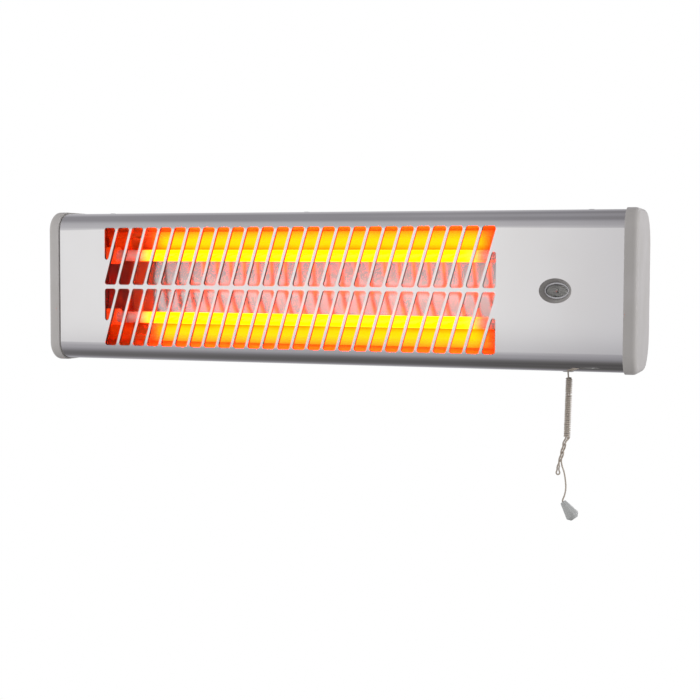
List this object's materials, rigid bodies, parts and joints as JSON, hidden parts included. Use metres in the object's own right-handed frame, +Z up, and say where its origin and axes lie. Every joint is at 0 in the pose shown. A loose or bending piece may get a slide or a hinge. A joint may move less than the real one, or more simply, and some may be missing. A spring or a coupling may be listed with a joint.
{
  "type": "wall-mounted infrared heater",
  "caption": "Wall-mounted infrared heater with glowing quartz tubes behind a slanted-slot stainless cover, a tilting wall bracket and a pull-cord switch.",
  "frame": {"origin": "centre of the wall screw pattern, on the wall plane", "axes": "+X along the heater towards the switch, +Y into the wall, +Z up; the heater faces -Y"},
  "size_m": [0.534, 0.1085, 0.2605],
  "materials": {
    "polished_stainless": "polished stainless sheet",
    "satin_steel": "satin coated steel sheet",
    "grey_moulding": "warm grey satin plastic",
    "zinc_screws": "bright zinc",
    "bracket_paint": "grey powder coat",
    "friction_fibre": "pressed fibre",
    "black_moulding": "black satin plastic",
    "bright_reflector": "bright rolled",
    "quartz": "clear quartz",
    "hot_coil": "glowing resistance wire",
    "ceramic": "glazed ceramic",
    "wire_sleeve": "silicone rubber",
    "switch_moulding": "heat-resistant plastic",
    "chrome_trim": "bright chrome",
    "smoked_lens": "smoked clear plastic",
    "drum_white": "white plastic",
    "contact_brass": "bare brass",
    "cord_yarn": "braided cord",
    "grip_moulding": "silver-grey plastic"
  },
  "bodies": {
    "bracket": {"wall_bracket": "bracket_paint"},
    "knob_left": {"tilt_knob_left": "black_moulding", "tilt_stud_left": "zinc_screws"},
    "knob_right": {"tilt_knob_right": "black_moulding", "tilt_stud_right": "zinc_screws"},
    "pull": {"pull_slider": "switch_moulding", "cord_inner": "cord_yarn"},
    "drum": {"indicator_drum": "drum_white", "ratchet_wheel": "switch_moulding", "drum_shaft": "zinc_screws", "contact_disc": "contact_brass"},
    "cord": {"cord_lead": "cord_yarn", "cord_winding": "cord_yarn", "cord_tail": "cord_yarn", "pull_grip": "grip_moulding"},
    "head": {"front_cover": "polished_stainless", "rear_housing": "satin_steel", "left_end_cap": "grey_moulding", "right_end_cap": "grey_moulding", "cap_screws": "zinc_screws", "cover_screws": "zinc_screws", "tilt_lugs": "bracket_paint", "lug_rivets": "zinc_screws", "lug_nuts": "zinc_screws", "friction_washers": "friction_fibre", "reflector": "bright_reflector", "reflector_end_left": "bright_reflector", "reflector_end_right": "bright_reflector", "plate_screws": "zinc_screws", "quartz_tube_upper": "quartz", "quartz_tube_lower": "quartz", "heating_coil_upper": "hot_coil", "heating_coil_lower": "hot_coil", "ceramic_holders_left": "ceramic", "ceramic_holders_right": "ceramic", "holder_clips": "zinc_screws", "element_terminals": "zinc_screws", "element_wires": "wire_sleeve", "switch_box": "switch_moulding", "window_bezel": "grey_moulding", "lens_ring": "chrome_trim", "window_lens": "smoked_lens", "contact_blades": "contact_brass", "slider_spring": "zinc_screws", "switch_bracket": "satin_steel", "bracket_screws": "zinc_screws", "pull_bush": "grey_moulding", "terminal_block": "switch_moulding", "block_screws": "zinc_screws", "cable_gland": "black_moulding", "gland_locknut": "black_moulding", "supply_wires": "wire_sleeve"}
  },
  "joints": [
    {"name": "tilt", "type": "hinge", "parent": "bracket", "child": "head", "pos_m": [0, -0.013, 0], "axis": [1, 0, 0], "range_deg": [0, 25]},
    {"name": "knob_left_turn", "type": "hinge", "parent": "head", "child": "knob_left", "pos_m": [-0.105, -0.013, 0], "axis": [-1, 0, 0], "range_deg": [0, 360]},
    {"name": "knob_right_turn", "type": "hinge", "parent": "head", "child": "knob_right", "pos_m": [0.105, -0.013, 0], "axis": [1, 0, 0], "range_deg": [0, 360]},
    {"name": "cord_pull", "type": "slide", "parent": "head", "child": "pull", "axis": [0, 0, -1], "range_m": [0, 0.0084], "stiffness_N_per_m": 400, "springref_m": -0.004, "deforming": ["slider_spring"]},
    {"name": "drum_turn", "type": "hinge", "parent": "head", "child": "drum", "pos_m": [0.2008, -0.084, 0], "axis": [-1, 0, 0], "range_deg": [0, 60]},
    {"name": "cord_swing", "type": "hinge", "parent": "pull", "child": "cord", "pos_m": [0.207, -0.076, -0.0685], "axis": [1, 0, 0], "range_deg": [-25, 0]}
  ],
  "couplings": [
    {"joint": "drum_turn", "follows": "cord_pull", "rad_per_m": 124.6},
    {"joint": "cord_swing", "follows": "tilt", "ratio": -1}
  ]
}
